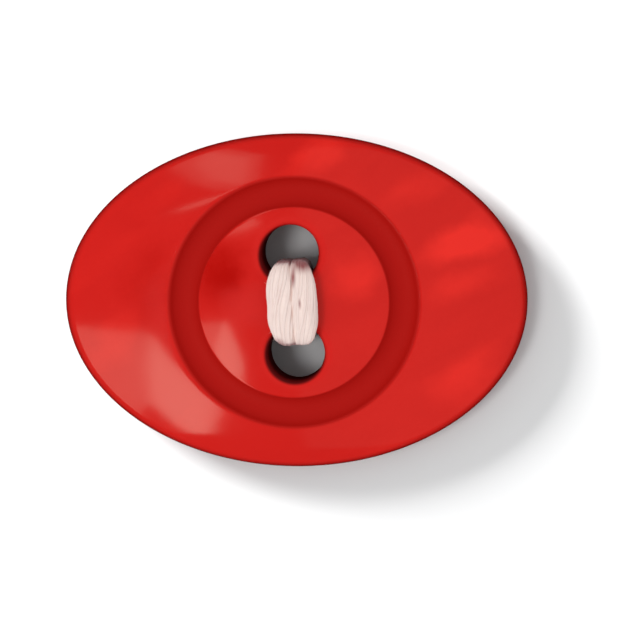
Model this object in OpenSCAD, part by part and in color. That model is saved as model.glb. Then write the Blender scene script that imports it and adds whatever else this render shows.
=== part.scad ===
// Oval two-hole sewing button with the thread that is stitched through it.
// +X runs along the oval, +Y across it and +Z up through the face.
// The origin is the middle of the flat back, and all sizes are millimetres.

/* [Oval body] */
// Length of the oval
button_l = 19.0; // [15:0.1:30]
// Width of the oval
button_w = 13.7; // [12.5:0.1:25]
// Thickness in the middle, from the back to the top of the dome
button_t = 3.2; // [2.6:0.1:5]
// Rise of the dome above its own rim
dome_rise = 0.54; // [0.2:0.02:0.9]
// Fall of the outer face from the groove to the oval's edge
face_fall = 1.0; // [0.4:0.05:1.2]
// Share of that fall that is curved, where 0 is a plain cone
face_bow = 0.4; // [0:0.05:0.8]
// Width of the rounding at the face's edge, seen from above
edge_roll_w = 0.2; // [0.1:0.05:0.4]
// Height of the rounding at the face's edge
edge_roll_h = 0.45; // [0.2:0.05:0.6]
// How far the flat back stops short of the edge
back_roll_w = 1.1; // [0.3:0.1:1.5]
// Height of the rounding at the back's edge
back_roll_h = 1.0; // [0.3:0.1:1.5]

/* [Ring groove] */
// Radius of the groove's middle line
groove_r = 4.48; // [4.2:0.02:5.4]
// Width of the groove
groove_w = 1.2; // [0.8:0.05:1.5]
// Depth of the groove below its lips
groove_d = 0.38; // [0.2:0.02:0.5]
// Rounding of the dome's rim, where it turns down into the groove
rim_round = 0.12; // [0.05:0.01:0.2]

/* [Sewing holes] */
// Diameter of the two holes
hole_d = 2.28; // [1.8:0.02:2.8]
// Distance between the holes' centres
hole_spacing = 4.05; // [3.4:0.05:4.9]
// Turn of the line of the holes away from the oval's width
hole_turn = 3.5; // [-10:0.5:10]
// Rounding of the holes' mouths on the face
mouth_round = 0.3; // [0.1:0.02:0.36]
// Chamfer of the holes in the back recess
hole_chamfer = 0.2; // [0.1:0.05:0.3]

/* [Back recess] */
// Depth of the round recess that takes the thread behind the button
recess_depth = 0.8; // [0.7:0.05:1.1]
// Floor of the recess left around the holes
recess_margin = 0.5; // [0.2:0.05:0.9]
// Chamfer at the mouth of the recess
recess_chamfer = 0.15; // [0.05:0.05:0.3]

/* [Thread] */
// Width of one pass of the thread over the bridge
thread_w = 0.99; // [0.8:0.01:1.2]
// Thickness of the thread on top of the bridge
thread_t = 0.92; // [0.6:0.02:1.1]
// Width of the thread where a hole squeezes it
pinch_w = 0.72; // [0.5:0.02:0.9]
// Thickness of the thread in the holes
pinch_t = 0.72; // [0.5:0.02:0.9]
// Width of the thread behind the bridge
under_w = 0.9; // [0.5:0.02:1]
// Thickness of the thread behind the bridge
under_t = 0.6; // [0.3:0.02:0.64]
// Distance of the thread's two ends from the middle, across the recess
tail_x = 1.5; // [1.3:0.05:2]
// Clearance between the thread and what it lies on
thread_gap = 0.03; // [0.02:0.01:0.06]

/* [Hidden] */
$fn = 96;
outline_points = 96;
thread_sides = 12;
route_steps = 2;
over = 1;

groove_in = groove_r - groove_w / 2;
groove_out = groove_r + groove_w / 2;
lip_z = button_t - dome_rise;
edge_z = lip_z - face_fall;
back_roll = min(back_roll_h, edge_z - edge_roll_h - 0.1);
hole_y = hole_spacing / 2;
hole_r = hole_d / 2;
recess_r = hole_y + hole_r + recess_margin;

// Radius of the arc through three heights: an arc of this rise over this half width
function arc_radius(half, rise) = (half * half + rise * rise) / (2 * rise);
dome_radius = arc_radius(groove_in, dome_rise);
groove_radius = arc_radius(groove_w / 2, groove_d);
dome_centre = [0, button_t - dome_radius];
groove_centre = [groove_r, lip_z - groove_d + groove_radius];

function unit(v) = v / norm(v);
function arc(centre, r, from, to, steps) =
    [for (i = [0 : steps]) let (t = from + (to - from) * i / steps) centre + r * [cos(t), sin(t)]];
function bearing(from, to) = atan2(to[1] - from[1], to[0] - from[0]);
// Where two circles cross, on the left of the line from the first centre to the second
function crossing(c1, r1, c2, r2) =
    let (d = norm(c2 - c1), along = (d * d + r1 * r1 - r2 * r2) / (2 * d), u = (c2 - c1) / d)
    c1 + along * u + sqrt(r1 * r1 - along * along) * [-u[1], u[0]];

// The rim's rounding touches the dome from inside and the groove from outside
rim_centre = crossing(dome_centre, dome_radius - rim_round, groove_centre, groove_radius + rim_round);
rim_start = bearing(dome_centre, rim_centre);
rim_end = bearing(rim_centre, groove_centre);
groove_start = bearing(groove_centre, rim_centre);
groove_wall = asin((groove_w / 2) / groove_radius);

// Section of the face inside the groove's outer lip, from the middle outwards
face_section = concat(
    arc(dome_centre, dome_radius, 90, rim_start, 12),
    arc(rim_centre, rim_round, rim_start, rim_end, 4),
    arc(groove_centre, groove_radius, groove_start, groove_wall - 90, 12)
);

// Rings of the oval body from the back to the groove, each as [half length, half width, height]
function outline(inset, z) = [button_l / 2 - inset, button_w / 2 - inset, z];
function face_ring(s) =
    let (rim = outline(edge_roll_w, 0))
    [groove_out + (rim[0] - groove_out) * s, groove_out + (rim[1] - groove_out) * s,
     lip_z - face_fall * ((1 - face_bow) * s + face_bow * s * s)];
body_rings = concat(
    [for (i = [0 : 6]) let (t = i * 15) outline(back_roll_w * (1 - sin(t)), back_roll * (1 - cos(t)))],
    [for (i = [0 : 5]) let (t = i * 14)
        outline(edge_roll_w * (1 - cos(t)), edge_z - edge_roll_h * (1 - sin(t)))],
    [for (s = [1, 0.9, 0.78, 0.64, 0.5, 0.36, 0.22, 0.09, -0.08]) face_ring(s)],
    [[face_ring(-0.08)[0], face_ring(-0.08)[1], button_t + over / 2]]
);

// A closed skin over rings that all have the same number of points
module skin(rings) {
    n = len(rings[0]);
    last = len(rings) - 1;
    points = [for (ring = rings) for (p = ring) p];
    sides = [for (k = [0 : last - 1]) for (i = [0 : n - 1])
        let (a = k * n + i, b = k * n + (i + 1) % n)
        each [[a, a + n, b], [b, a + n, b + n]]];
    bottom = [for (i = [0 : n - 1]) i];
    top = [for (i = [n - 1 : -1 : 0]) last * n + i];
    polyhedron(points = points, faces = concat(sides, [bottom, top]), convexity = 6);
}

module oval_body() {
    skin([for (ring = body_rings)
        [for (i = [0 : outline_points - 1])
            let (t = i * 360 / outline_points)
            [ring[0] * cos(t), ring[1] * sin(t), ring[2]]]]);
}

// Everything above the dome and the groove
module face_cutter() {
    wall_top = face_section[len(face_section) - 1] + over * [cos(groove_wall), sin(groove_wall)];
    rotate_extrude()
        polygon(concat(
            [[0, button_t + 2 * over]],
            face_section,
            [wall_top, [wall_top[0], button_t + 2 * over]]
        ));
}

// A hole's rounded mouth, square to the dome where the hole comes out
module mouth_cutter() {
    lean = asin(hole_y / dome_radius);
    surface_z = dome_centre[1] + dome_radius * cos(lean);
    lip = arc([hole_r + mouth_round, -mouth_round], mouth_round, 170, 90, 6);
    translate([0, hole_y, surface_z])
        rotate([-lean, 0, 0])
        rotate_extrude()
        polygon(concat(
            [[0, -2 * mouth_round], [hole_r - 0.05, -1.6 * mouth_round]],
            lip,
            [[hole_r + mouth_round, over / 2], [0, over / 2]]
        ));
}

module hole_cutter() {
    translate([0, hole_y, 0]) {
        cylinder(r = hole_r, h = button_t + over);
        translate([0, 0, recess_depth - over])
            cylinder(r1 = hole_r + hole_chamfer + over, r2 = hole_r, h = hole_chamfer + over);
    }
    mouth_cutter();
}

module recess_cutter() {
    rotate_extrude()
        polygon([
            [0, -over], [recess_r + recess_chamfer + over, -over],
            [recess_r, recess_chamfer], [recess_r, recess_depth], [0, recess_depth]
        ]);
}

module button() {
    color("#c9231f")
        difference() {
            oval_body();
            face_cutter();
            recess_cutter();
            for (half = [0, 180])
                rotate([0, 0, hole_turn + half])
                hole_cutter();
        }
}

// The thread lies in two lanes, and its section is squeezed in the holes and behind the bridge.
// A route point is [x, y, z, half width, half thickness], with the holes on the Y axis.
over_x = (thread_w + thread_gap) / 2;
pinch_x = (pinch_w + thread_gap) / 2;
shoulder_x = pinch_x + 0.3 * pinch_w;
wall_y = hole_y - sqrt(hole_r * hole_r - shoulder_x * shoulder_x);
pinch_y = wall_y + 0.4 * pinch_t + thread_gap;
over_z = button_t + thread_gap + thread_t / 2;
under_z = recess_depth - thread_gap - under_t / 2;
// The bend is tighter than the mouth's rounding, so the wide thread stays clear of the curved lip
over_bend = 0.6 * mouth_round + thread_gap + thread_t / 2;
under_bend = hole_chamfer + thread_gap + under_t / 2;
middle_z = (button_t + recess_depth) / 2;

function bend_point(x, z, radius, side, up, half_w, half_t, t) =
    [x, side * (pinch_y - radius * (1 - cos(t))), z + up * radius * sin(t), half_w, half_t];
// One quarter of a pass, from the middle of a hole to the edge of the bridge
function over_quarter(x, side) = [
    [x * pinch_x, side * pinch_y, middle_z, pinch_w / 2, pinch_t / 2],
    bend_point(x * pinch_x, over_z - over_bend, over_bend, side, 1, pinch_w / 2, pinch_t / 2, 0),
    bend_point(x * (pinch_x + over_x) / 2, over_z - over_bend, over_bend, side, 1,
        (pinch_w + thread_w) / 4, (pinch_t + thread_t) / 4, 45),
    bend_point(x * over_x, over_z - over_bend, over_bend, side, 1, 0.49 * thread_w, thread_t / 2, 90)
];
function under_quarter(x, side) = [
    bend_point(x * pinch_x, under_z + under_bend, under_bend, side, -1, pinch_w / 2, pinch_t / 2, 0),
    bend_point(x * pinch_x, under_z + under_bend, under_bend, side, -1,
        pinch_w / 2, (pinch_t + under_t) / 4, 45),
    bend_point(x * pinch_x, under_z + under_bend, under_bend, side, -1, pinch_w / 2, under_t / 2, 90)
];
function reversed(list) = [for (i = [len(list) - 1 : -1 : 0]) list[i]];
function pass(x) = concat(
    reversed(under_quarter(x, -1)),
    over_quarter(x, -1),
    [[x * over_x, 0, over_z, thread_w / 2, thread_t / 2]],
    reversed(over_quarter(x, 1)),
    under_quarter(x, 1)
);
function tail(x) = [
    [x * (over_x + under_w / 2 + 0.2), 0, under_z, under_w / 2, under_t / 2],
    [x * tail_x, -x * 0.7, under_z, under_w / 2, under_t / 2],
    [x * tail_x, -x * 1.0, under_z, under_w / 3, under_t / 3]
];
route = concat(
    reversed(tail(-1)),
    pass(-1),
    [[0, 0, under_z, under_w / 2, under_t / 2]],
    pass(1),
    tail(1)
);

// A smooth curve through every route point
function spline(a, b, c, d, t) =
    b + 0.5 * t * (c - a + t * (2 * a - 5 * b + 4 * c - d + t * (3 * (b - c) + d - a)));
function smooth(points, steps) =
    let (last = len(points) - 1)
    concat(
        [for (i = [0 : last - 1]) for (k = [0 : steps - 1])
            spline(points[max(i - 1, 0)], points[i], points[i + 1], points[min(i + 2, last)], k / steps)],
        [points[last]]
    );
function place(p) = [p[0], p[1], p[2]];

// An oval section carried along the route, with its width kept as near to X as it can be
module stitch() {
    line = smooth(route, route_steps);
    last = len(line) - 1;
    rings = [for (i = [0 : last])
        let (
            along = unit(place(line[min(i + 1, last)]) - place(line[max(i - 1, 0)])),
            wide = unit([1, 0, 0] - along[0] * along),
            thick = cross(along, wide)
        )
        [for (k = [0 : thread_sides - 1])
            let (t = k * 360 / thread_sides)
            place(line[i]) + line[i][3] * cos(t) * wide + line[i][4] * sin(t) * thick]];
    color("#efe2dc")
        rotate([0, 0, hole_turn])
        skin(rings);
}

button();
stitch();
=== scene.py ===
# %% [markdown]
# # A sewn-on oval button
#
# The real thing is a moulded plastic button, held by one doubled stitch of soft cotton thread.
# The imported part already fixes every size, so the first step loads it as a frame. The looks
# are then built around it, in metres.

# %% Load the imported part
import math

import bpy
import numpy as np
from mathutils import Matrix, Vector


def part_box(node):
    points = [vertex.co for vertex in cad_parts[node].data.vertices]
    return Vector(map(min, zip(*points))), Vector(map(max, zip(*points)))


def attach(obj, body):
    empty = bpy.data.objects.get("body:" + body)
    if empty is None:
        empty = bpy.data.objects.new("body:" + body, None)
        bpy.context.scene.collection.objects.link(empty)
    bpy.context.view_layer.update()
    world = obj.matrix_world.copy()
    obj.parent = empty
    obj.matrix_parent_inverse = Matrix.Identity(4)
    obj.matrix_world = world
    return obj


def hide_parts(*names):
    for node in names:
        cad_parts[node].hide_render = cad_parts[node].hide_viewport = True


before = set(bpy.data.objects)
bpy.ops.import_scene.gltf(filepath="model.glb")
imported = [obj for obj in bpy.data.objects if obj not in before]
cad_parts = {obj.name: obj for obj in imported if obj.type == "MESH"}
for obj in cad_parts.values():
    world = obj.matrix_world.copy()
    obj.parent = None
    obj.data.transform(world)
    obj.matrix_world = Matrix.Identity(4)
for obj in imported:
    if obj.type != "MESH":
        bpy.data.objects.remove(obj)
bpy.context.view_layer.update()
MM = 0.001

# %% [markdown]
# ## Sizes
#
# A button maker works from few numbers: the oval, the round well in its face, the two holes
# and the hollow back. The three outer sizes are read from the frame, so they can't drift from
# it, and the moulded details are named here once, in millimetres.

# %% Sizes of the button, in millimetres
button_low, button_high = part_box("button")
LENGTH, WIDTH, THICK = (round(side / MM, 2) for side in button_high - button_low)
DOME_RISE = 0.54
FACE_FALL = 1.0
FACE_BOW = 0.4
SHOULDER_IN = 0.2
SHOULDER_DOWN = 0.45
BACK_ROLL_IN = 1.1
BACK_ROLL_UP = 1.0
GROOVE_R = 4.48
GROOVE_W = 1.2
GROOVE_D = 0.38
RIM_ROUND = 0.12
HOLE_R = 1.14
HOLE_Y = 2.025
HOLE_TURN = math.radians(3.5)
MOUTH_ROUND = 0.3
HOLE_CHAMFER = 0.2
RECESS_DEPTH = 0.8
RECESS_R = HOLE_Y + HOLE_R + 0.5
RECESS_CHAMFER = 0.15
GROOVE_IN = GROOVE_R - GROOVE_W / 2
GROOVE_OUT = GROOVE_R + GROOVE_W / 2
LIP_Z = THICK - DOME_RISE
EDGE_Z = LIP_Z - FACE_FALL
print(f"button {LENGTH} x {WIDTH} x {THICK} mm, groove from radius {GROOVE_IN:.2f} to {GROOVE_OUT:.2f} mm")

# %% [markdown]
# ## Camera
#
# A small thing is best drawn from above with a long lens, because a short lens would bend the
# oval. The view leans a few degrees to the far right, which is what opens the left and near
# walls of the holes to the eye. The distance follows from the lens and from how much of the
# picture the button fills, and the aim is moved beside the middle instead of shifting the lens.

# %% Camera from above
LENS = 180.0
SENSOR = 36.0
NEAREST, FARTHEST = 0.01, 10.0
PICTURE_WIDTH = 1.384 * LENGTH
AIM_RIGHT, AIM_UP = 0.052, -0.0424
AIM = Vector((AIM_RIGHT * LENGTH, AIM_UP * LENGTH, EDGE_Z - SHOULDER_DOWN))
LEAN = Vector((0.055, 0.07, 1.0)).normalized()
camera_data = bpy.data.cameras.new("overhead_camera")
camera_data.lens = LENS
camera_data.sensor_width = SENSOR
camera_data.clip_start = NEAREST
camera_data.clip_end = FARTHEST
camera_data.dof.use_dof = False
camera = bpy.data.objects.new("overhead_camera", camera_data)
camera_right = Vector((0, 1, 0)).cross(LEAN).normalized()
camera_turn = Matrix((camera_right, LEAN.cross(camera_right), LEAN)).transposed()
camera.matrix_world = camera_turn.to_4x4()
camera.location = (AIM + LEAN * PICTURE_WIDTH * LENS / SENSOR) * MM
bpy.context.scene.collection.objects.link(camera)
bpy.context.scene.camera = camera
bpy.context.scene.view_settings.view_transform = "Standard"
print(f"camera {camera.location.z / MM:.0f} mm up, picture {PICTURE_WIDTH:.1f} mm wide")

# %% [markdown]
# ## A way to write finishes
#
# Node trees are easier to read as expressions. A Field wraps one socket, and the operators on
# it add Math nodes, so `1 - mask` works as it reads. A Finish adds every other node by one
# method, which takes the type, its settings and then its sockets.

# %% Fields and finishes
class Field:
    """One output socket. An operator on it adds the Math node of that name."""

    def __init__(self, finish, socket):
        self.finish = finish
        self.socket = socket

    def math(self, operation, first, second=0.0):
        return self.finish.node("ShaderNodeMath", {"operation": operation}, {0: first, 1: second})

    def __add__(self, other):
        return self.math("ADD", self, other)

    def __radd__(self, other):
        return self.math("ADD", other, self)

    def __sub__(self, other):
        return self.math("SUBTRACT", self, other)

    def __rsub__(self, other):
        return self.math("SUBTRACT", other, self)

    def __mul__(self, other):
        return self.math("MULTIPLY", self, other)

    def __rmul__(self, other):
        return self.math("MULTIPLY", other, self)


class Finish:
    """A material under construction."""

    def __init__(self, name):
        self.material = bpy.data.materials.new(name)
        self.material.use_nodes = True
        self.tree = self.material.node_tree
        self.tree.nodes.clear()

    def node(self, kind, settings=None, sockets=None, output=0):
        """Adds a node: its settings first, then values or links for its sockets. Returns one output."""
        made = self.tree.nodes.new(kind)
        for name, value in (settings or {}).items():
            if name == "stops":
                self.fill_ramp(made.color_ramp, value)
            else:
                setattr(made, name, value)
        for name, value in (sockets or {}).items():
            if isinstance(value, Field):
                self.tree.links.new(value.socket, made.inputs[name])
            else:
                made.inputs[name].default_value = value
        return Field(self, made.outputs[output]) if made.outputs else None

    def fill_ramp(self, ramp, stops):
        """Puts two (position, grey) stops into a ramp, which eases between them."""
        ramp.interpolation = "EASE"
        for stop, (position, grey) in zip(ramp.elements, stops):
            stop.position = position
            stop.color = (grey, grey, grey, 1)

    def coordinates(self, scale, turn=0.0):
        """Object coordinates in units of one millimetre times scale, turned about Z by turn degrees."""
        place = self.node("ShaderNodeTexCoord", output="Object")
        stretch = tuple(s / MM for s in scale)
        sockets = {"Vector": place, "Rotation": (0, 0, math.radians(turn))}
        turned_place = self.node("ShaderNodeMapping", {"vector_type": "POINT"}, sockets)
        return self.node("ShaderNodeVectorMath", {"operation": "MULTIPLY"}, {0: turned_place, 1: stretch})

    def noise(self, place, detail=2.0, roughness=0.5, distortion=0.0):
        """Smooth noise from 0 to 1."""
        sockets = {"Vector": place, "Scale": 1.0, "Detail": detail}
        sockets.update({"Roughness": roughness, "Distortion": distortion})
        return self.node("ShaderNodeTexNoise", {"noise_dimensions": "3D"}, sockets)

    def ramp(self, value, stops):
        """A value read through a ramp of two greys."""
        return self.node("ShaderNodeValToRGB", {"stops": stops}, {"Fac": value})

    def smooth(self, value, low, high):
        """A step from 0 to 1 as the value goes from low to high, eased at both ends."""
        sockets = {"Value": value, "From Min": low, "From Max": high}
        return self.node("ShaderNodeMapRange", {"interpolation_type": "SMOOTHSTEP"}, sockets)

    def length(self, vector):
        """How long a vector is."""
        return self.node("ShaderNodeVectorMath", {"operation": "LENGTH"}, {0: vector}, output="Value")

    def mix(self, factor, first, second):
        """A colour between two colours."""
        settings = {"data_type": "RGBA", "clamp_factor": True}
        return self.node("ShaderNodeMix", settings, {0: factor, 6: first, 7: second}, output=2)

    def bump(self, height, distance_mm, strength):
        """A normal tilted by a height field of the given depth in millimetres."""
        sockets = {"Height": height, "Distance": distance_mm * MM, "Strength": strength}
        return self.node("ShaderNodeBump", None, sockets)

    def clamp(self, value):
        """The value kept between 0 and 1."""
        return self.node("ShaderNodeClamp", None, {"Value": value})

    def surface(self, sockets):
        """The shader, joined to the output."""
        shader = self.node("ShaderNodeBsdfPrincipled", None, sockets)
        self.node("ShaderNodeOutputMaterial", None, {"Surface": shader})
        return self.material

    def two_surfaces(self, share, first, second):
        """Two shaders, the second showing by its share, joined to the output."""
        shaders = [self.node("ShaderNodeBsdfPrincipled", None, sockets) for sockets in (first, second)]
        blend = self.node("ShaderNodeMixShader", None, {0: share, 1: shaders[0], 2: shaders[1]})
        self.node("ShaderNodeOutputMaterial", None, {"Surface": blend})
        return self.material


def dress(piece, material):
    """Gives a piece one material."""
    piece.data.materials.clear()
    piece.data.materials.append(material)
    print(f"{material.name}: {len(material.node_tree.nodes)} nodes, on {piece.name}")


# %% [markdown]
# ## Light
#
# Glossy plastic shows its surroundings, so the bright things round it are placed by what they
# draw on it. A tall window low on the left makes the two sharp-edged patches on the rim and
# the dome, and one behind makes the upper glint. They are flat panels with free corners,
# since a window is seldom seen square-on, and a wide dim board on the right puts a faint
# sheen on the far slopes. The panels are only mirrored and light nothing. The sky does the
# opposite: it fills in, but is hidden from reflections, which would turn the red pink.

# %% Glowing panels
DAYLIGHT = (1.0, 0.98, 0.80, 1)


def glowing(name, corners, radiance):
    """A flat panel through the given corners, in metres, which only reflections see. It lights nothing
    and shades nothing, so the picture in the gloss and the light on the plastic stay apart."""
    finish = Finish(name)
    glow = finish.node("ShaderNodeEmission", None, {"Color": DAYLIGHT, "Strength": radiance})
    finish.node("ShaderNodeOutputMaterial", None, {"Surface": glow})
    mesh = bpy.data.meshes.new(name)
    mesh.from_pydata(corners, [], [list(range(len(corners)))])
    mesh.materials.append(finish.material)
    panel = bpy.data.objects.new(name, mesh)
    panel.visible_camera = False
    panel.visible_diffuse = False
    panel.visible_shadow = False
    bpy.context.scene.collection.objects.link(panel)
    print(f"{name}: {len(corners)} corners, radiance {radiance}")


LEFT_WALL = -0.15
BACK_WALL = 0.20
BEHIND = 0.001
BOARD_Z = 0.55
BOARD_REACH = 2.0
BOARD_LEFT = -0.02
window_sky = [(-0.059, 0.274), (-0.062, 0.292), (-0.126, 0.338), (-0.19, 0.356), (-0.245, 0.290)]
window_sky += [(-0.333, 0.168), (-0.294, 0.126), (-0.172, 0.167), (-0.101, 0.225)]
window_wall = [(-0.042, 0.10), (-0.042, 0.15), (-0.056, 0.274), (-0.060, 0.30), (-0.17, 0.30)]
window_wall += [(-0.17, 0.162), (-0.20, 0.10)]
back_glint = [(-0.085, 0.062), (-0.058, 0.095), (-0.082, 0.19), (-0.115, 0.30)]
back_glint += [(-0.13, 0.22), (-0.108, 0.11)]
back_haze = [(-0.082, 0.04), (-0.044, 0.085), (-0.07, 0.21), (-0.115, 0.36)]
back_haze += [(-0.155, 0.34), (-0.15, 0.22), (-0.125, 0.09)]
high_glint = [(-0.12, 0.43), (-0.145, 0.39), (-0.27, 0.455), (-0.275, 0.51), (-0.20, 0.48)]
board = [(BOARD_LEFT, -BOARD_REACH), (BOARD_REACH, -BOARD_REACH)]
board += [(BOARD_REACH, BOARD_REACH), (BOARD_LEFT, BOARD_REACH)]
glowing("window_sky", [(LEFT_WALL, y, z) for y, z in window_sky], radiance=3.2)
glowing("window_wall", [(LEFT_WALL - BEHIND, y, z) for y, z in window_wall], radiance=1.4)
glowing("back_glint", [(x, BACK_WALL, z) for x, z in back_glint], radiance=1.25)
glowing("back_haze", [(x, BACK_WALL + BEHIND, z) for x, z in back_haze], radiance=0.65)
glowing("high_glint", [(x, BACK_WALL, z) for x, z in high_glint], radiance=1.7)
glowing("right_board", [(x, y, BOARD_Z) for x, y in board], radiance=0.17)

# %% Sky
SKY = (0.98, 0.99, 1.0, 1)
SKY_STRENGTH = 0.86
world = bpy.data.worlds.new("studio_sky")
world.use_nodes = True
world.node_tree.nodes["Background"].inputs["Color"].default_value = SKY
world.node_tree.nodes["Background"].inputs["Strength"].default_value = SKY_STRENGTH
bpy.context.scene.world = world
world.cycles_visibility.glossy = False
print(f"{world.name}: strength {SKY_STRENGTH}, lights everything and is mirrored by nothing")

# %% [markdown]
# ## Profiles
#
# Everything turned or moulded here is a profile carried round. Two helpers are enough: an arc
# for what was cut with a round tool, and a conic that eases one line into the next, which is
# how a mould leaves every corner. Both return whole arrays.

# %% Arc, conic corner and rounded path
def arc(centre, radius, first, last, steps):
    """Points centre + radius * (cos, sin) as the angle runs evenly from first to last, in degrees."""
    angle = np.radians(np.linspace(first, last, steps + 1))
    return np.asarray(centre) + radius * np.stack([np.cos(angle), np.sin(angle)], axis=1)


def eased(before, corner, after, steps):
    """A conic from before to after that leans on the corner: the weighted mean of the three with the
    weights (1-t)^2, sqrt(2) t (1-t) and t^2. On two equal legs at a right angle it is a true arc."""
    t = np.linspace(0, 1, steps + 1).reshape(-1, *[1] * np.ndim(corner))
    weights = (1 - t) ** 2, math.sqrt(2) * t * (1 - t), t**2
    return sum(w * np.asarray(p) for w, p in zip(weights, (before, corner, after))) / sum(weights)


def rounded_path(stations, reach, steps=4):
    """Rows of points through the stations, where each inner corner is eased over reach on both sides.
    A station is an array of points, so one call rounds the same corner all the way round a shape."""
    rows = [stations[0][None]]
    for before, corner, after in zip(stations, stations[1:], stations[2:]):
        legs = [p - corner for p in (before, after)]
        cuts = [corner + reach * leg / np.linalg.norm(leg, axis=-1, keepdims=True) for leg in legs]
        rows.append(eased(cuts[0], corner, cuts[1], steps))
    return np.concatenate([*rows, stations[-1][None]])


def dome_height(radius):
    """Height of the middle dome: a sphere through its top and its rim, THICK - R + sqrt(R^2 - r^2)."""
    return THICK - DOME_R + np.sqrt(DOME_R**2 - radius**2)


def arc_radius(half_width, rise):
    """Radius of the circle that rises by rise over half_width: (half_width^2 + rise^2) / (2 rise)."""
    return (half_width**2 + rise**2) / (2 * rise)


DOME_R = arc_radius(GROOVE_IN, DOME_RISE)
GROOVE_TOOL_R = arc_radius(GROOVE_W / 2, GROOVE_D)
print(f"dome radius {DOME_R:.2f} mm, groove tool radius {GROOVE_TOOL_R:.2f} mm")

# %% [markdown]
# ## The face, from the dome to the rim
#
# The well is turned, so its rings are circles, while the rim must end in an oval. A ring is
# therefore kept as three numbers: its half length, its half width and its height. Between the
# groove and the rim both halves grow evenly, and the circle turns into the oval on the way.

# %% Rings of the groove
SEAM_R = 3.58
dome_centre = np.array([0, THICK - DOME_R])
groove_centre = np.array([GROOVE_R, LIP_Z - GROOVE_D + GROOVE_TOOL_R])
to_groove = groove_centre - dome_centre
reach_dome = DOME_R - RIM_ROUND
reach_groove = GROOVE_TOOL_R + RIM_ROUND
apart = np.linalg.norm(to_groove)
along = (apart**2 + reach_dome**2 - reach_groove**2) / (2 * apart)
aside = math.sqrt(reach_dome**2 - along**2)
toward = to_groove / apart
rim_centre = dome_centre + along * toward + aside * np.array([-toward[1], toward[0]])


def bearing(start, end):
    """Direction from start to end, in degrees."""
    return math.degrees(math.atan2(end[1] - start[1], end[0] - start[0]))


def circles(profile):
    """Rings from a turned profile of (radius, height) points: both halves are the radius."""
    return np.stack([profile[:, 0], profile[:, 0], profile[:, 1]], axis=1)


rim_start = bearing(dome_centre, rim_centre)
lip_angle = math.degrees(math.asin(GROOVE_W / 2 / GROOVE_TOOL_R)) - 90
LIP_EASE = 9.0
seam_angle = math.degrees(math.acos(SEAM_R / DOME_R))
dome_rings = circles(arc(dome_centre, DOME_R, seam_angle, rim_start, steps=5))
rim_rings = circles(arc(rim_centre, RIM_ROUND, rim_start, bearing(rim_centre, groove_centre), steps=5))
groove_turn = bearing(groove_centre, rim_centre), lip_angle - LIP_EASE
groove_rings = circles(arc(groove_centre, GROOVE_TOOL_R, *groove_turn, steps=22))
print("groove floor at", round(float(groove_rings[:, 2].min()), 3), "mm")

# %% Rings of the sloping face and the shoulder
def outline(inset, height):
    """The ring that lies inset inside the oval outline."""
    return np.array([LENGTH / 2 - inset, WIDTH / 2 - inset, height])


def face_ring(s):
    """The face from the groove (s = 0) to the rim (s = 1): both halves grow evenly with s while the
    height falls by FACE_FALL * ((1 - FACE_BOW) s + FACE_BOW s^2)."""
    s = np.asarray(s, dtype=float)[..., None]
    start, end = np.array([GROOVE_OUT, GROOVE_OUT]), outline(SHOULDER_IN, 0)[:2]
    halves = start + (end - start) * s
    fall = FACE_FALL * ((1 - FACE_BOW) * s + FACE_BOW * s**2)
    return np.concatenate([halves, LIP_Z - fall], axis=-1)


def cubic(a, b, c, d, steps):
    """The cubic curve that leaves a towards b and arrives at d from c."""
    t = np.linspace(0, 1, steps + 1)[:, None]
    return (1 - t) ** 3 * a + 3 * t * (1 - t) ** 2 * b + 3 * t**2 * (1 - t) * c + t**3 * d


LIP_S = 0.05
SHOULDER_S = 0.95
FACE_ROWS = 27
SLOPE_STEP = 0.01
SHOULDER_LEAD = 0.05
SHOULDER_PULL = 0.4
lip_rings = eased(groove_rings[-1], face_ring(0), face_ring(LIP_S), steps=6)
face_rings = face_ring(np.linspace(LIP_S, SHOULDER_S, FACE_ROWS))
shoulder_rise = face_ring(SHOULDER_S + SLOPE_STEP) - face_ring(SHOULDER_S - SLOPE_STEP)
shoulder_slope = shoulder_rise / (2 * SLOPE_STEP)
shoulder_start = face_ring(SHOULDER_S)
shoulder_rings = cubic(
    shoulder_start,
    shoulder_start + SHOULDER_LEAD * shoulder_slope,
    outline(0, EDGE_Z - SHOULDER_PULL * SHOULDER_DOWN),
    outline(0, EDGE_Z - SHOULDER_DOWN),
    steps=10,
)
print("face falls to", round(float(face_rings[-1, 2]), 2), "mm before the shoulder")

# %% [markdown]
# ## The back
#
# The side is rolled under like the edge of a pebble, so that the button slips through its
# hole. The flat back is what lies on the cloth, and the round hollow in it leaves room for
# the thread. All of it is more rings, so the whole skin is one sheet carried round the oval.

# %% Rings of the rolled side, the flat back and the hollow
CORNER_EASE = 0.05
FLAT_BAND = 1.0
ROLL_ROWS = 13
turn = np.radians(np.linspace(90, 0, ROLL_ROWS))
inset, lift = BACK_ROLL_IN * (1 - np.sin(turn)), BACK_ROLL_UP * (1 - np.cos(turn))
side_rings = np.stack([LENGTH / 2 - inset, WIDTH / 2 - inset, lift], axis=1)
hollow_rings = rounded_path(
    [
        np.array([r, r, z])
        for r, z in (
            (RECESS_R + FLAT_BAND, 0.0),
            (RECESS_R + RECESS_CHAMFER, 0.0),
            (RECESS_R, RECESS_CHAMFER),
            (RECESS_R, RECESS_DEPTH),
            (SEAM_R, RECESS_DEPTH),
        )
    ],
    CORNER_EASE,
)
rings = np.concatenate(
    [dome_rings, rim_rings[1:], groove_rings[1:], lip_rings[1:], face_rings[1:]]
    + [shoulder_rings[1:], side_rings, hollow_rings]
)
print(len(rings), "rings make the outer skin")

# %% Carry the rings round the oval
AROUND = 400


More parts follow.
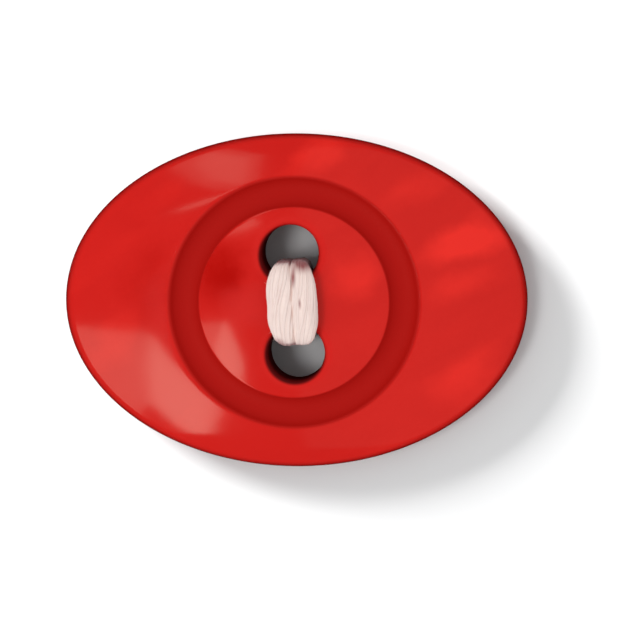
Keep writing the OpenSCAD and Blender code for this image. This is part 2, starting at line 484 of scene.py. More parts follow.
def carried(rings, angle):
    """Points (half length * cos, half width * sin, height) for every ring and every angle."""
    flat = [rings[:, :1] * np.cos(angle), rings[:, 1:2] * np.sin(angle)]
    return np.stack([*flat, np.broadcast_to(rings[:, 2:], flat[0].shape)], axis=-1)


def quads(rows, columns, inward=False):
    """Corner numbers of a grid whose columns close on themselves. Faces look up where the rows run
    outwards and the columns run counter-clockwise; inward turns them over."""
    i, j = np.meshgrid(np.arange(rows - 1), np.arange(columns), indexing="ij")
    k = (j + 1) % columns
    corners = [i * columns + j, (i + 1) * columns + j, (i + 1) * columns + k, i * columns + k]
    return np.stack(corners[::-1] if inward else corners, axis=-1).reshape(-1, 4)


skin = carried(rings, 2 * np.pi * np.arange(AROUND) / AROUND + HOLE_TURN)
print("outer skin:", skin.shape[0], "rings of", skin.shape[1], "points")

# %% [markdown]
# ## The two holes
#
# Between the dome's seam circle and the holes the surface has to change from one ring into two.
# Cutting the disc along its middle gives two half discs with one hole each, and every half is
# a simple sheet: lines run from its border to the mouth, roll over the rounded lip, drop down
# the wall and spread out under the hollow back to the same border. No boolean is needed.

# %% One sheet for each hole
BRIDGE_STEPS = 80
SPREAD_ROWS = 14
top_seam, under_seam = skin[0], skin[-1]
share = np.arange(1, BRIDGE_STEPS)[:, None] / BRIDGE_STEPS
bridge = top_seam[AROUND // 2] + (top_seam[0] - top_seam[AROUND // 2]) * share
bridge_top = np.column_stack([bridge[:, :2], dome_height(np.hypot(bridge[:, 0], bridge[:, 1]))])
bridge_under = np.column_stack([bridge[:, :2], np.full(len(bridge), RECESS_DEPTH)])


def ring_about(centre, direction, radius, height):
    """Points at a radius round the hole's axis in the given directions, at the given height."""
    flat = centre + direction * radius
    return np.column_stack([flat, np.broadcast_to(height, len(flat))])


def hole_sheet(side):
    """The half disc on one side, as rows from the top border, through the hole, to the border below."""
    half = np.arange(AROUND // 2 + 1) + (0 if side > 0 else AROUND // 2)
    top = np.concatenate([top_seam[half % AROUND], bridge_top[::side]])
    under = np.concatenate([under_seam[half % AROUND], bridge_under[::side]])
    centre = side * HOLE_Y * np.array([-math.sin(HOLE_TURN), math.cos(HOLE_TURN)])
    direction = top[:, :2] - centre
    direction /= np.linalg.norm(direction, axis=1, keepdims=True)
    mouth = ring_about(centre, direction, HOLE_R + MOUTH_ROUND, 0.0)
    slide = np.linspace(0, 1, SPREAD_ROWS + 1)[1:, None, None]
    spread = top[None] + (mouth[None] - top[None]) * slide
    spread[..., 2] = dome_height(np.hypot(spread[..., 0], spread[..., 1]))
    wall = ring_about(centre, direction, HOLE_R, 0.0)
    wall[:, 2] = dome_height(np.hypot(wall[:, 0], wall[:, 1]))
    lip = eased(spread[-1], wall, wall - [0, 0, MOUTH_ROUND], steps=9)
    foot = ring_about(centre, direction, HOLE_R, RECESS_DEPTH + HOLE_CHAMFER)
    flare = ring_about(centre, direction, HOLE_R + HOLE_CHAMFER, RECESS_DEPTH)
    below = rounded_path([lip[-1], foot, flare, under], CORNER_EASE)
    return np.concatenate([top[None], spread, lip[1:], below[1:]])


sheets = [hole_sheet(side) for side in (1, -1)]
print("each hole's sheet:", sheets[0].shape[0], "rows of", sheets[0].shape[1], "points")

# %% [markdown]
# ## One closed mesh
#
# The three sheets share the points on their borders, so joining them is a matter of giving
# equal points the same number. A closed surface uses every edge once in each direction and
# encloses a positive volume, which is worth printing: a hole or a flipped face shows at once.

# %% Join sheets into one closed mesh
def joined(grids):
    """Stacks (points, quads) sheets and gives points that agree to six decimals the same number."""
    points, faces, start = [], [], 0
    for grid_points, grid_quads in grids:
        points.append(grid_points.reshape(-1, 3))
        faces.append(grid_quads + start)
        start += len(points[-1])
    stacked = np.concatenate(points)
    _, first, number = np.unique(np.round(stacked, 6), axis=0, return_index=True, return_inverse=True)
    return stacked[first], number.reshape(-1)[np.concatenate(faces)]


def describe(name, points, faces):
    """Prints whether each edge runs once each way, and the volume: a sixth of the sum of a . (b x c).
    An open sheet encloses nothing, so its volume says nothing, and overlapping tubes count twice."""
    triangles = np.concatenate([faces[:, [0, 1, 2]], faces[:, [0, 2, 3]]])
    edges = np.concatenate([faces[:, [k, (k + 1) % 4]] for k in range(4)])
    edges = edges[edges[:, 0] != edges[:, 1]]
    there = np.unique(edges, axis=0)
    back = np.unique(edges[:, ::-1], axis=0)
    closed = len(there) == len(edges) and np.array_equal(there, back)
    a, b, c = (points[triangles[:, k]] for k in range(3))
    volume = np.einsum("ij,ij->", a, np.cross(b, c)) / 6
    print(f"{name}: {len(triangles)} triangles, closed {closed}, volume {volume:.2f} mm3")


def make_piece(name, points, faces):
    """A smooth mesh object at the origin, from points in millimetres and quads."""
    mesh = bpy.data.meshes.new(name)
    mesh.from_pydata((points * MM).tolist(), [], faces.tolist())
    mesh.shade_smooth()
    piece = bpy.data.objects.new(name, mesh)
    bpy.context.scene.collection.objects.link(piece)
    describe(name, points, faces)
    return piece


skin_grid = (skin, quads(*skin.shape[:2]))
sheet_grids = [(sheet, quads(*sheet.shape[:2], inward=True)) for sheet in sheets]
button = make_piece("oval_button", *joined([skin_grid, *sheet_grids]))

# %% [markdown]
# ## The stitch's route
#
# The thread goes through both holes twice, so two bundles lie side by side on the face. Behind,
# it crosses once and its two ends are tucked into the hollow. The route repeats the part's own
# points: across the top, round the lip into a hole, pinched down it and out below. Each point
# carries the half width and half thickness of the flattened bundle as well as its place.

# %% Route of the thread, in millimetres
THREAD_W, THREAD_T = 0.99, 0.92
PINCH_W, PINCH_T = 0.72, 0.72
UNDER_W, UNDER_T = 0.9, 0.6
TAIL_X = 1.5
TAIL_SIDE = 0.2
TAIL_TURN, TAIL_END = 0.7, 1.0
GAP = 0.03
# How a pass meets its hole: the shares of its width and thickness at which it touches the wall, the
# share of the mouth's rounding that it bends over, and its half width as it lands on the face.
WALL_AT_W, WALL_AT_T = 0.3, 0.4
LIP_SHARE = 0.6
LANDING = 0.49
over_x, pinch_x = (THREAD_W + GAP) / 2, (PINCH_W + GAP) / 2
wall_y = HOLE_Y - math.sqrt(HOLE_R**2 - (pinch_x + WALL_AT_W * PINCH_W) ** 2)
pinch_y = wall_y + WALL_AT_T * PINCH_T + GAP
over_z = THICK + GAP + THREAD_T / 2
under_z = RECESS_DEPTH - GAP - UNDER_T / 2
over_bend = LIP_SHARE * MOUTH_ROUND + GAP + THREAD_T / 2
under_bend = HOLE_CHAMFER + GAP + UNDER_T / 2


def bend_point(x, z, radius, side, up, half_w, half_t, degrees):
    """A point on the bend from a hole onto a face, turned by the given degrees round the bend."""
    t = math.radians(degrees)
    return [x, side * (pinch_y - radius * (1 - math.cos(t))), z + up * radius * math.sin(t), half_w, half_t]


def over_quarter(x, side):
    """From the middle of a hole up and over its lip."""
    z = over_z - over_bend
    middle_w, middle_t = (PINCH_W + THREAD_W) / 4, (PINCH_T + THREAD_T) / 4
    return [
        [x * pinch_x, side * pinch_y, (THICK + RECESS_DEPTH) / 2, PINCH_W / 2, PINCH_T / 2],
        bend_point(x * pinch_x, z, over_bend, side, 1, PINCH_W / 2, PINCH_T / 2, 0),
        bend_point(x * (pinch_x + over_x) / 2, z, over_bend, side, 1, middle_w, middle_t, 45),
        bend_point(x * over_x, z, over_bend, side, 1, LANDING * THREAD_W, THREAD_T / 2, 90),
    ]


def under_quarter(x, side):
    """From inside a hole out under the bridge between the holes."""
    z = under_z + under_bend
    thicknesses = (PINCH_T / 2, (PINCH_T + UNDER_T) / 4, UNDER_T / 2)
    steps = zip((0, 45, 90), thicknesses)
    return [bend_point(x * pinch_x, z, under_bend, side, -1, PINCH_W / 2, t, turn) for turn, t in steps]


def one_pass(x):
    """Up through one hole, across the face and down through the other, beside the middle by x."""
    top = [[x * over_x, 0, over_z, THREAD_W / 2, THREAD_T / 2]]
    rise = under_quarter(x, -1)[::-1] + over_quarter(x, -1)
    return rise + top + over_quarter(x, 1)[::-1] + under_quarter(x, 1)


def tail(x):
    """The end that is tucked away in the hollow."""
    return [
        [x * (over_x + UNDER_W / 2 + TAIL_SIDE), 0, under_z, UNDER_W / 2, UNDER_T / 2],
        [x * TAIL_X, -x * TAIL_TURN, under_z, UNDER_W / 2, UNDER_T / 2],
        [x * TAIL_X, -x * TAIL_END, under_z, UNDER_W / 3, UNDER_T / 3],
    ]


crossing = [[0, 0, under_z, UNDER_W / 2, UNDER_T / 2]]
route = np.array(tail(-1)[::-1] + one_pass(-1) + crossing + one_pass(1) + tail(1), dtype=float)
print(len(route), "points on the thread's route")

# %% [markdown]
# ## Soft cotton, strand by strand
#
# Soft sewing cotton is a loose bundle of fine strands. A plain core fills the middle, and thin
# strands lie round it, half sunk, and drift a little as they turn slowly along the route. They
# are placed by shares of the flattened section, so they stay close to its envelope and swell
# past it by about six per cent at most. Where the two bundles lie side by side on the face
# their inner sides are made flatter and pushed a little into each other, so no gap shows.

# %% Smooth the route and find its directions
STATIONS = 430
SPAN_STEPS = 24


def smooth_route(points, per_span, stations):
    """A Catmull-Rom curve through the points, b + t/2 (c - a + t (2a - 5b + 4c - d + t (3(b - c) + d - a))),
    read again at stations that are evenly spaced along its length."""
    padded = np.concatenate([2 * points[:1] - points[1:2], points, 2 * points[-1:] - points[-2:-1]])
    a, b, c, d = (padded[k : len(padded) - 3 + k, None] for k in range(4))
    t = (np.arange(per_span) / per_span)[None, :, None]
    curve = b + t / 2 * (c - a + t * (2 * a - 5 * b + 4 * c - d + t * (3 * (b - c) + d - a)))
    curve = np.concatenate([curve.reshape(-1, points.shape[1]), points[-1:]])
    length = np.concatenate([[0], np.cumsum(np.linalg.norm(np.diff(curve[:, :3], axis=0), axis=1))])
    even = np.linspace(0, length[-1], stations)
    return np.stack([np.interp(even, length, column) for column in curve.T], axis=1), even


def unit(vectors):
    """The vectors at length one."""
    return vectors / np.linalg.norm(vectors, axis=-1, keepdims=True)


def frames(places):
    """At each place: the sideways direction nearest +X, and the one across it and the route."""
    ahead = unit(np.gradient(places, axis=0))
    wide = unit(np.array([1.0, 0, 0]) - ahead[:, :1] * ahead)
    return wide, np.cross(ahead, wide)


centre_line, distance = smooth_route(route, SPAN_STEPS, STATIONS)
place, half_size = centre_line[:, :3], centre_line[:, 3:]
wide, across = frames(place)
print(f"thread route {distance[-1]:.1f} mm long")

# %% A core and the strands round it
SIDES = 8
CORE_SIDES = 28
CORE_RADIUS = 0.95
STRANDS = 20
STRAND_LAY = 0.885
STRAND_RADIUS = 0.12
TURN_LENGTH = 18.0
ROUND_SIDE = 2.3
PRESSED_SIDE = 6.0
PRESSED_OUT = 0.11
PRESSED_BAND = 0.2
LUMPINESS = 0.018
LUMP_RATES = 1.9, 4.3
LUMP_START = 0.7
WAVE_RATES = 0.5, 1.6
DRIFTS = 0.10, 0.07
DRIFT_RATE = 2.3
SWELL = 0.18
SWELL_RATE = 1.7
END_LENGTH = 0.12
END_LEAST = 0.02
TINY = 1e-9
random = np.random.default_rng(7)


def turned(points):
    """Turns points about Z by the angle of the hole line."""
    c, s = math.cos(HOLE_TURN), math.sin(HOLE_TURN)
    return points @ np.array([[c, s, 0], [-s, c, 0], [0, 0, 1]])


def inside_section(u, v):
    """Points u and v, as shares of the half sizes, mapped onto the section at each station. A direction
    is pushed out by (|cos|^n + |sin|^n)^(-1/n) and by the lumps. Towards the other bundle n grows,
    which flattens that side, and PRESSED_OUT pushes it further out."""
    reach = np.maximum(np.hypot(u, v), TINY)
    beside = place[:, :1]
    inner = np.clip(-np.sign(beside) * u / reach, 0, 1) * np.clip(np.abs(beside) / PRESSED_BAND, 0, 1)
    n = ROUND_SIDE + PRESSED_SIDE * inner
    push = (np.abs(u / reach) ** n + np.abs(v / reach) ** n) ** (-1 / n)
    sideways = (u * push * (1 + PRESSED_OUT * inner) * lumps * half_size[:, :1])[..., None] * wide[:, None]
    upwards = (v * push * lumps * half_size[:, 1:])[..., None] * across[:, None]
    return turned(place[:, None] + sideways + upwards)


waviness = np.sin(LUMP_RATES[0] * distance + LUMP_START) + np.sin(LUMP_RATES[1] * distance)
lumps = 1 + LUMPINESS * waviness[:, None]
ends = np.clip(np.minimum(distance, distance[-1] - distance) / END_LENGTH, END_LEAST, 1.0)
closing = np.sqrt(ends * (2 - ends))[:, None]


def core():
    """The filled middle: a disc of CORE_RADIUS that narrows to a fifth at both ends, as a quarter circle."""
    section = np.arange(CORE_SIDES) * math.tau / CORE_SIDES
    radius = CORE_RADIUS * closing
    return inside_section(radius * np.cos(section), radius * np.sin(section))


def strand(number):
    """A thin tube whose middle circles the bundle at STRAND_LAY. Its angle is its share of a turn plus
    the slow twist plus a drift of two sines, and its radius swells and thins by a third sine."""
    waves = random.uniform(*WAVE_RATES, 3)[:, None] * distance + random.uniform(0, math.tau, (3, 1))
    drift = DRIFTS[0] * np.sin(waves[0]) + DRIFTS[1] * np.sin(DRIFT_RATE * waves[1])
    angle = (number / STRANDS + distance / TURN_LENGTH) * math.tau + drift
    section = np.arange(SIDES) * math.tau / SIDES
    radius = (STRAND_RADIUS * (1 + SWELL * np.sin(SWELL_RATE * waves[2])))[:, None] * closing
    lay = STRAND_LAY * closing
    u = lay * np.cos(angle)[:, None] + radius * np.cos(section)
    v = lay * np.sin(angle)[:, None] + radius * np.sin(section)
    return inside_section(u, v)


strands = np.stack([strand(number) for number in range(STRANDS)])
middle = core()[None]
print(STRANDS, "strands of", STATIONS, "rings round a core of", CORE_SIDES, "sides")

# %% [markdown]
# ## Loose fibres
#
# What makes cotton look soft is the fuzz of broken fibres that stand off the bundle. Each is a
# short tapered hair with a curl. They are one array of hairs rather than a particle system, so
# they are real geometry in every export, and a seeded generator keeps them the same each time.

# %% Loose fibres on the bundle
HAIRS = 600
HAIR_RINGS = 5
HAIR_SIDES = 4
HAIR_RADIUS = 0.005
HAIR_ROOT = 0.93
HAIR_LEAN = 0.15, 0.6
HAIR_CURL = 0.45
HAIR_LENGTH = 0.06, 0.2
HAIR_TAPER = 0.8
NUDGE = 0.01


def fibres(count):
    """Hairs that leave the bundle above the lip: start + length * (t * lean + t^2 * curl), with a radius
    that thins as 1 - HAIR_TAPER * t. Returns an array of hairs, rings, sides and coordinates."""
    station = random.choice(np.flatnonzero(place[:, 2] > LIP_Z), count)
    round_angle = random.uniform(0, math.tau, count)
    cos, sin = np.cos(round_angle)[:, None], np.sin(round_angle)[:, None]
    half_w, half_t = half_size[station, :1], half_size[station, 1:]
    outward = unit(cos * wide[station] / half_w + sin * across[station] / half_t)
    start = place[station] + HAIR_ROOT * (cos * half_w * wide[station] + sin * half_t * across[station])
    ahead = np.cross(wide[station], across[station])
    rise = random.uniform(*HAIR_LEAN, (count, 1))
    way = random.choice([-1.0, 1.0], (count, 1))
    lean = unit(outward * rise + ahead * way)
    curl = random.normal(0, HAIR_CURL, (count, 3))
    length = random.uniform(*HAIR_LENGTH, (count, 1))
    t = np.linspace(0, 1, HAIR_RINGS)
    bend = t[:, None] * lean[:, None] + t[:, None] ** 2 * curl[:, None]
    line = start[:, None] + length[:, None] * bend
    first = unit(np.cross(lean, outward + NUDGE))
    second = unit(np.cross(lean, first))
    angle = np.arange(HAIR_SIDES) * math.tau / HAIR_SIDES
    thin = HAIR_RADIUS * (1 - HAIR_TAPER * t)[None, :, None, None]
    loop = np.cos(angle)[None, :, None] * first[:, None] + np.sin(angle)[None, :, None] * second[:, None]
    return turned(line[:, :, None] + thin * loop[:, None])


hairs = fibres(HAIRS)
print(HAIRS, "fibres of", HAIR_RINGS, "rings")

# %% Close the tubes and join them into one piece
def tube_quads(rows, sides):
    """The side quads of a tube, and one quad fan for each end, so that the tube is closed. The number
    of sides is even, or the fan would leave a gap."""
    first = np.arange(sides)
    last = first + (rows - 1) * sides
    caps = []
    for ring in (first[::-1], last):
        caps += [[ring[0], ring[k], ring[k + 1], ring[k + 2]] for k in range(1, sides - 2, 2)]
    return np.concatenate([quads(rows, sides, inward=True), np.array(caps)])


def flat_stack(tubes):
    """Points and quads of equal tubes, one after another."""
    rows, sides = tubes.shape[1:3]
    one = tube_quads(rows, sides)
    shift = np.arange(len(tubes))[:, None, None] * rows * sides
    return tubes.reshape(-1, 3), (one[None] + shift).reshape(-1, 4)


stacks = [flat_stack(tubes) for tubes in (middle, strands, hairs)]
starts = np.cumsum([0] + [len(points) for points, _ in stacks[:-1]])
thread_points = np.concatenate([points for points, _ in stacks])
thread_faces = np.concatenate([faces + start for (_, faces), start in zip(stacks, starts)])
thread = make_piece("cotton_stitch", thread_points, thread_faces)

# %% [markdown]
# ## A map along the strands
#
# The cotton's streaks have to follow each strand round its bends, which plain object
# coordinates can't do. So the mesh carries a map: one axis is the distance along the strand in
# millimetres, with a jump from strand to strand, and the other is the turn round it.

# %% UV map of the thread
STRAND_JUMP = 40.0
HAIR_JUMP = 0.37


def corner_values(tubes, faces, jump):
    """For each face corner: the distance along, plus a jump for each tube, and the share of a turn.
    Every tube spans the route's whole length, so on a hair the map is stretched and not in millimetres."""
    rows, sides = tubes.shape[1:3]
    number, ring, side = faces // (rows * sides), faces // sides % rows, faces % sides
    wraps = (side.max(axis=1, keepdims=True) == sides - 1) & (side == 0)
    along_tube = number * jump + ring * (distance[-1] / (rows - 1))
    return np.stack([along_tube, (side + sides * wraps) / sides], axis=-1)


mapped = zip((middle, strands, hairs), stacks, (0.0, STRAND_JUMP, HAIR_JUMP))
corner_map = [corner_values(tubes, faces, jump) for tubes, (_, faces), jump in mapped]
corner_map = np.concatenate(corner_map).reshape(-1, 2)
layer = thread.data.uv_layers.new(name="along_strand")
layer.data.foreach_set("uv", corner_map.astype(np.float32).ravel())
print("thread map:", len(corner_map), "corners")

# %% [markdown]
# ## Pearly red plastic
#
# Fashion buttons are cast from polyester with a little pearl essence stirred in. The flakes
# line up in pale wisps where the resin flowed, and leave pockets of deeper red between them.
# The wisps are placed one by one and frayed by noise, since noise alone gives wood grain and
# not pearl. The groove is cut after polishing, so it is nearly matt, and its deeper red is partly
# the cut plastic and partly painted shade in the hollow.

# %% Red pearl plastic
DEEP_RED = (0.41, 0.002, 0.0006)
RED = (0.57, 0.012, 0.009)
PEARL_RED = (0.78, 0.022, 0.015)
# The groove's red is partly the cut plastic and partly painted shade in the hollow.
GROOVE_RED_AND_SHADE = (0.39, 0.005, 0.003)
# Painted shade on the rolled side below the rim and on the hole walls.
EDGE_SHADE_RED = (0.25, 0.004, 0.003)
THROAT_RED = (0.085, 0.002, 0.002)
FLOW_ANGLE = 28.0
FLOW_STRETCH = (0.16, 0.5, 0.3)
GRAIN_STRETCH = (7.0, 7.0, 7.0)
WAVE_STRETCH = (0.8, 0.8, 0.8)
FRAY_REACH = (2.2, 1.4, 0.0)
WISP_LEAST, WISP_FLOW = 0.35, 1.3
FLOW_SHOWS, GRAIN_SHOWS = 0.7, 0.15
GROOVE_FADE_BEFORE, GROOVE_FADE_IN, GROOVE_FADE_OUT = 0.06, 0.05, 0.14
FACE_ABOVE = 0.5
EDGE_BELOW, EDGE_ABOVE = 0.6 * SHOULDER_DOWN, 0.06
GLOSS, GLOSS_GRAIN = 0.085, 0.07
MATT, MATT_GRAIN = 0.55, 0.1
WAVE_DEPTH = 0.008
# Each row: middle x and y, half length and half width in millimetres, angle, strength
WISPS = [
    (6.9, 2.5, 2.5, 1.1, 21, 1.1),
    (6.7, 0.6, 2.4, 0.9, 20, 0.5),
    (7.0, -3.1, 2.4, 1.3, 40, 0.5),
    (2.4, 1.2, 1.7, 1.3, 35, 0.7),
    (0.9, 5.8, 2.3, 1.0, 30, 0.8),
    (4.9, 4.4, 2.4, 1.0, 25, 0.4),
    (-7.4, -1.6, 2.0, 1.2, 60, 0.4),
    (-5.4, 4.2, 2.2, 0.8, 35, 0.3),
]
POCKETS = [(-5.9, 1.0, 2.4, 1.6, 80, 0.4), (-2.9, 1.4, 2.2, 1.4, 70, 1.0)]
# The lips of the two holes are matt like the groove. The shade in the throats is painted, not built:
# a dark disc set a little off each hole's middle covers the wall and a part of the lip.
LIP_REACH = HOLE_R + MOUTH_ROUND + 0.22
THROAT = HOLE_R + 0.17
SHADE_X, SHADE_Y = -0.07, -0.09
LIP_CORE, THROAT_CORE = 0.8, 0.88
lip_x, lip_y = -HOLE_Y * math.sin(HOLE_TURN), HOLE_Y * math.cos(HOLE_TURN)
THROATS = [(side * lip_x + SHADE_X, side * lip_y + SHADE_Y, THROAT, THROAT, 0, 1.0) for side in (1, -1)]
LIPS = [(side * lip_x, side * lip_y, LIP_REACH, LIP_REACH, 0, 1.0) for side in (1, -1)]


def patches(finish, place, rows, core=0.1):
    """The sum of soft ellipses: for each row, strength times 1 - smoothstep of the distance from its
    middle, measured in its own half length and half width, and full inside the core."""
    total = 0.0
    for x, y, length, width, angle, strength in rows:
        sockets = {"Vector": place, "Location": (x, y, 0), "Rotation": (0, 0, math.radians(angle))}
        sockets["Scale"] = (length, width, 100.0)
        local = finish.node("ShaderNodeMapping", {"vector_type": "TEXTURE"}, sockets)
        total = total + strength * (1.0 - finish.smooth(finish.length(local), core, 1.0))
    return total


def red_plastic():
    """Red with placed pearl wisps and deep pockets, under a polished surface with a matt groove. Painted
    shade darkens the groove, the rolled side and the hole walls, and a painted dark disc the throats.
    """
    finish = Finish("pearl_red_plastic")
    place = finish.coordinates((1, 1, 1))
    sockets = {"Vector": place, "Scale": 0.5, "Detail": 3.0}
    fray = finish.node("ShaderNodeTexNoise", None, sockets, output="Color")
    push = finish.node("ShaderNodeVectorMath", {"operation": "SUBTRACT"}, {0: fray, 1: (0.5, 0.5, 0.5)})
    sockets = {0: push, 1: FRAY_REACH, 2: place}
    frayed = finish.node("ShaderNodeVectorMath", {"operation": "MULTIPLY_ADD"}, sockets)
    flow = finish.coordinates(FLOW_STRETCH, turn=-FLOW_ANGLE)
    streaks = finish.noise(flow, detail=3.0, roughness=0.5, distortion=0.4)
    grain = finish.noise(finish.coordinates(GRAIN_STRETCH), detail=2.0)
    drawn = patches(finish, frayed, WISPS) * (WISP_LEAST + WISP_FLOW * streaks)
    pearl = drawn + FLOW_SHOWS * (streaks - 0.5) + GRAIN_SHOWS * (grain - 0.5)
    deep = patches(finish, frayed, POCKETS)
    body = finish.mix(deep, (*RED, 1), (*DEEP_RED, 1))
    face = finish.mix(pearl, body, (*PEARL_RED, 1))
    flat = finish.node("ShaderNodeVectorMath", {"operation": "MULTIPLY"}, {0: place, 1: (1, 1, 0)})
    radius = finish.length(flat)
    height = finish.node("ShaderNodeSeparateXYZ", None, {"Vector": place}, output="Z")
    ring = finish.smooth(radius, GROOVE_IN - GROOVE_FADE_BEFORE, GROOVE_IN + GROOVE_FADE_IN)
    ring = ring * (1.0 - finish.smooth(radius, GROOVE_OUT, GROOVE_OUT + GROOVE_FADE_OUT))
    groove = ring * finish.smooth(height, RECESS_DEPTH, RECESS_DEPTH + FACE_ABOVE)
    wavy = finish.noise(finish.coordinates(WAVE_STRETCH), detail=1.0)
    # The groove's deeper red: partly the cut plastic, partly painted shade in the hollow.
    upper = finish.mix(groove, face, (*GROOVE_RED_AND_SHADE, 1))
    # Painted shade: the side below the shoulder and the hole walls at the same height are darkened, fading
    # out towards the flat back.
    edge = 1.0 - finish.smooth(height, EDGE_Z - EDGE_BELOW, EDGE_Z + EDGE_ABOVE)
    edge = edge * finish.smooth(height, 0.0, BACK_ROLL_UP)
    outer = finish.mix(edge, upper, (*EDGE_SHADE_RED, 1))
    shaded = patches(finish, place, THROATS, core=THROAT_CORE)
    colour = finish.mix(shaded, outer, (*THROAT_RED, 1))
    normal = finish.bump(wavy + 0.02 * grain, WAVE_DEPTH, strength=0.5)
    polished = {"Base Color": colour, "Roughness": GLOSS + GLOSS_GRAIN * grain, "Normal": normal, "IOR": 1.5}
    matt = {"Base Color": colour, "Roughness": MATT + MATT_GRAIN * grain, "Specular IOR Level": 0.08}
    lips = patches(finish, place, LIPS, core=LIP_CORE)
    return finish.two_surfaces(finish.clamp(groove + lips), polished, matt)


dress(button, red_plastic())

# %% [markdown]
# ## Soft cotton
#
# Unmercerised cotton is matt and faintly warm. Its fibres lie along the strand, so the streaks
# are noise that is stretched along the strand's own map, wrapped round by a cosine and a sine
# so that it meets itself. Sheen gives the pale edge that loose fibres make against the light.

# %% Off-white cotton
COTTON = (0.88, 0.705, 0.64)
COTTON_SHADE = (0.80, 0.61, 0.56)
# Painted shade, tinted red as if by light through the plastic, where the thread sinks towards the holes.
COTTON_DIP_SHADE = (0.30, 0.09, 0.09)
ALONG_STRETCH, ROUND_STRETCH = 1.1, 2.6
SHADE_STOPS = [(0.32, 0.0), (0.58, 1.0)]
DIP_LOW, DIP_HIGH = THICK - 0.3, THICK + 0.45
FIBRE_DEPTH = 0.05
# Painted shade along the middle of the stitch and where it nears the holes, as rows of middle x and y, half
# length and half width, angle, strength
SHADE_MARKS = [
    (0.05, 1.1, 0.6, 0.16, 92, 1.0),
    (0.33, 0.05, 0.32, 0.09, 95, 0.7),
    (0.42, 1.72, 0.7, 0.6, 0, 1.3),
    (-0.45, 1.85, 0.45, 0.35, 0, 0.8),
    (0.0, -1.75, 0.4, 0.25, 0, 1.0),
    (-0.5, -1.65, 0.5, 0.35, 140, 0.7),
]


def cotton():
    """Matt off-white fibre with fine streaks along each strand, and painted shade where it lies low and in
    marks near the holes.
    """
    finish = Finish("off_white_cotton")
    along = finish.node("ShaderNodeUVMap", {"uv_map": "along_strand"})
    far = finish.node("ShaderNodeSeparateXYZ", None, {"Vector": along})
    around = Field(finish, far.socket.node.outputs["Y"])
    angle = math.tau * around
    cosine = finish.node("ShaderNodeMath", {"operation": "COSINE"}, {0: angle})
    sine = finish.node("ShaderNodeMath", {"operation": "SINE"}, {0: angle})
    sockets = {"X": ALONG_STRETCH * far, "Y": ROUND_STRETCH * cosine, "Z": ROUND_STRETCH * sine}
    wrapped = finish.node("ShaderNodeCombineXYZ", None, sockets)
    streaks = finish.noise(wrapped, detail=4.0, roughness=0.6, distortion=0.6)
    mottle = finish.noise(finish.coordinates((0.9, 0.9, 0.9)), detail=2.0)
    shade = finish.ramp(0.5 * streaks + 0.5 * mottle, SHADE_STOPS)
    place = finish.coordinates((1, 1, 1))
    height = finish.node("ShaderNodeSeparateXYZ", None, {"Vector": place}, output="Z")
    # Painted shade: the thread darkens the lower it lies, and fully so where it sinks into the holes.
    low = 1.0 - finish.smooth(height, DIP_LOW, DIP_HIGH)
    # Painted shade in marks along the middle of the stitch and near the holes.
    shade_marks = patches(finish, place, SHADE_MARKS, core=0.0)
    dip_shade = finish.clamp(low + shade_marks * (0.5 + streaks))
    clean = finish.mix(shade, (*COTTON_SHADE, 1), (*COTTON, 1))
    return finish.surface(
        {
            "Base Color": finish.mix(dip_shade, clean, (*COTTON_DIP_SHADE, 1)),
            "Roughness": 0.86 + 0.1 * streaks,
            "Normal": finish.bump(streaks, FIBRE_DEPTH, strength=0.4),
            "Sheen Weight": 0.3,
            "Sheen Roughness": 0.4,
            "Specular IOR Level": 0.2,
            "Subsurface Weight": 0.15,
            "Subsurface Radius": (1.0, 0.85, 0.75),
            "Subsurface Scale": 0.3 * MM,
        }
    )


dress(thread, cotton())

# %% [markdown]
# ## The floor
#
# A plain pale sheet under the button shows the soft shadow and nothing else. It lies a
# hundredth of a millimetre below the flat back, so that the two never share a plane, and it is
# kept out of reflections, because a white floor would draw a pale line round the dark edge.
# It is one open sheet, so it is the one mesh here that prints as not closed.

# %% Pale floor
FLOOR_HALF = 0.6
FLOOR_DROP = -0.01
CARD_GREY = (0.58, 0.58, 0.58, 1)
CARD_PALE = (0.60, 0.60, 0.60, 1)


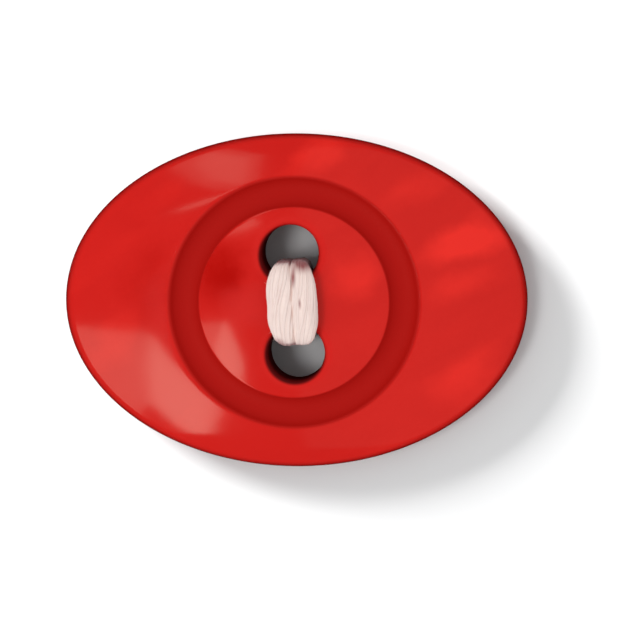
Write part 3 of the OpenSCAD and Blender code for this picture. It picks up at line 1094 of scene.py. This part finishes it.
def pale_card():
    """Plain pale card with a trace of tooth."""
    finish = Finish("pale_card")
    tooth = finish.noise(finish.coordinates((0.05, 0.05, 0.05)), detail=2.0)
    tone = finish.mix(tooth, CARD_GREY, CARD_PALE)
    return finish.surface({"Base Color": tone, "Roughness": 0.9, "Specular IOR Level": 0.1})


corner = FLOOR_HALF / MM
corners = [(-corner, -corner), (corner, -corner), (corner, corner), (-corner, corner)]
card = np.array([(x, y, FLOOR_DROP) for x, y in corners])
floor = make_piece("studio_floor", card, np.array([[0, 1, 2, 3]]))
floor.visible_glossy = False
dress(floor, pale_card())

# %% [markdown]
# ## Two soft keys
#
# A low key gives the floor its long soft shadow, but it would light one half of the button far
# more than the other. A studio would flag it. Light linking does the same: the low key reaches
# the floor alone, and a higher, weaker one from the left reaches the floor, the button and the
# thread, and gives the last two their form.

# %% Soft keys
def soft_key(name, azimuth, elevation, distance, size, radiance, reached):
    """A square area light aimed at the button. Its power is radiance * 4 * area, so that size and
    brightness stay apart, and it only reaches the given objects. Reflections don't show it."""
    a, e = math.radians(azimuth), math.radians(elevation)
    toward = Vector((math.cos(a) * math.cos(e), math.sin(a) * math.cos(e), math.sin(e)))
    data = bpy.data.lights.new(name, "AREA")
    data.size = size
    data.energy = 4 * size**2 * radiance
    light = bpy.data.objects.new(name, data)
    light.location = toward * distance
    light.rotation_mode = "QUATERNION"
    light.rotation_quaternion = toward.to_track_quat("Z", "Y")
    light.visible_camera = False
    light.visible_glossy = False
    bpy.context.scene.collection.objects.link(light)
    group = bpy.data.collections.new(name + "_reaches")
    for piece in reached:
        group.objects.link(piece)
    light.light_linking.receiver_collection = group
    print(f"{name}: {elevation} degrees up, reaches {[piece.name for piece in reached]}")


low_place = {"azimuth": 143, "elevation": 23, "distance": 0.35}
high_place = {"azimuth": 195, "elevation": 69, "distance": 0.30}
soft_key("shadow_key", **low_place, size=0.13, radiance=48.0, reached=[floor])
soft_key("modelling_key", **high_place, size=0.08, radiance=11.5, reached=[button, thread, floor])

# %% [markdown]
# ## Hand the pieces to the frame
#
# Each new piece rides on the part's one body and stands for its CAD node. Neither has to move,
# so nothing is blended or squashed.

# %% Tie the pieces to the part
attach(button, "root")
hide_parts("button")
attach(thread, "root")
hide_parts("stitch")
